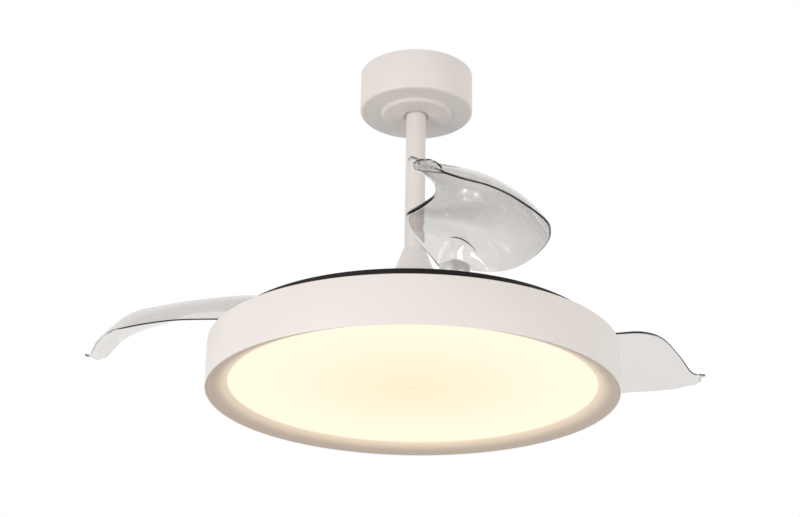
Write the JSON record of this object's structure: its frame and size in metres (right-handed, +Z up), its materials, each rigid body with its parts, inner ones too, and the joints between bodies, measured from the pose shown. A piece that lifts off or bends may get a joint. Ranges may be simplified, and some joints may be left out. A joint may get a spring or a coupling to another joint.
{
  "type": "retractable blade ceiling fan",
  "caption": "Ceiling fan on a short rod, with a round drum light and clear curved blades that swing out when it turns and fold in over the light when it stops.",
  "frame": {"origin": "centre of the ceiling bracket's top face, which lies on the ceiling", "axes": "+Z up into the ceiling, -Y towards the viewer of the picture, +X to that viewer's right; the rod, motor and lamp lie on the Z axis"},
  "size_m": [0.8251, 0.7209, 0.44],
  "materials": {
    "white_paint": "satin",
    "dark_paint": "satin",
    "clear_plastic": "clear, polished",
    "opal_plastic": "opal, lit from behind",
    "bright_steel": "plated",
    "cast_alloy": "as cast",
    "black_steel": "satin",
    "copper": "enamelled copper wire",
    "nylon": "natural",
    "rubber": "matt",
    "board_white": "white solder mask",
    "control_box": "satin"
  },
  "bodies": {
    "ceiling_mount": {"ceiling_bracket": "bright_steel", "canopy": "white_paint", "canopy_screw_1": "bright_steel", "canopy_screw_2": "bright_steel", "terminal_block": "nylon"},
    "hanging_lamp": {"hanging_ball": "nylon", "hanger_pin": "bright_steel", "downrod": "white_paint", "coupling_yoke": "cast_alloy", "coupling_bolt": "bright_steel", "coupling_nut": "bright_steel", "shaft_set_screw": "black_steel", "coupling_cover": "white_paint", "motor_shaft": "bright_steel", "lower_bearing": "bright_steel", "upper_bearing": "bright_steel", "stator_core": "cast_alloy", "stator_windings": "copper", "clamp_washer": "bright_steel", "clamp_nut": "bright_steel", "upper_tray": "dark_paint", "drum_shell": "white_paint", "lamp_chassis": "cast_alloy", "led_driver": "control_box", "fan_controller": "control_box", "led_board": "board_white", "trim_ring": "white_paint", "diffuser": "opal_plastic"},
    "rotor": {"rotor_base": "cast_alloy", "rotor_cover": "black_steel", "magnet_ring": "black_steel", "blade_carrier": "dark_paint", "carrier_screw_1": "bright_steel", "carrier_screw_2": "bright_steel", "carrier_screw_3": "bright_steel", "pivot_bush_1": "nylon", "return_spring_1": "bright_steel", "open_bumper_1": "rubber", "fold_bumper_1": "rubber", "pivot_bush_2": "nylon", "return_spring_2": "bright_steel", "open_bumper_2": "rubber", "fold_bumper_2": "rubber", "pivot_bush_3": "nylon", "return_spring_3": "bright_steel", "open_bumper_3": "rubber", "fold_bumper_3": "rubber"},
    "blade_assembly_1": {"blade_1": "clear_plastic", "blade_spindle_1": "bright_steel", "stop_lever_1": "cast_alloy", "spindle_screw_1": "bright_steel"},
    "blade_assembly_2": {"blade_2": "clear_plastic", "blade_spindle_2": "bright_steel", "stop_lever_2": "cast_alloy", "spindle_screw_2": "bright_steel"},
    "blade_assembly_3": {"blade_3": "clear_plastic", "blade_spindle_3": "bright_steel", "stop_lever_3": "cast_alloy", "spindle_screw_3": "bright_steel"}
  },
  "joints": [
    {"name": "hanger_swing", "type": "hinge", "parent": "ceiling_mount", "child": "hanging_lamp", "pos_m": [0, 0, -0.027], "axis": [1, 0, 0], "range_deg": [-6, 6]},
    {"name": "rotor_spin", "type": "hinge", "parent": "hanging_lamp", "child": "rotor", "pos_m": [0, 0, -0.352], "axis": [0, 0, 1], "continuous": true},
    {"name": "blade_swing_1", "type": "hinge", "parent": "rotor", "child": "blade_assembly_1", "pos_m": [0.04607, -0.16499, -0.341], "axis": [0, 0, 1], "range_deg": [-109.4, 15.6]},
    {"name": "blade_swing_2", "type": "hinge", "parent": "rotor", "child": "blade_assembly_2", "pos_m": [0.11985, 0.12239, -0.341], "axis": [0, 0, 1], "range_deg": [-103, 22]},
    {"name": "blade_swing_3", "type": "hinge", "parent": "rotor", "child": "blade_assembly_3", "pos_m": [-0.16592, 0.0426, -0.341], "axis": [0, 0, 1], "range_deg": [-125, 0]}
  ]
}
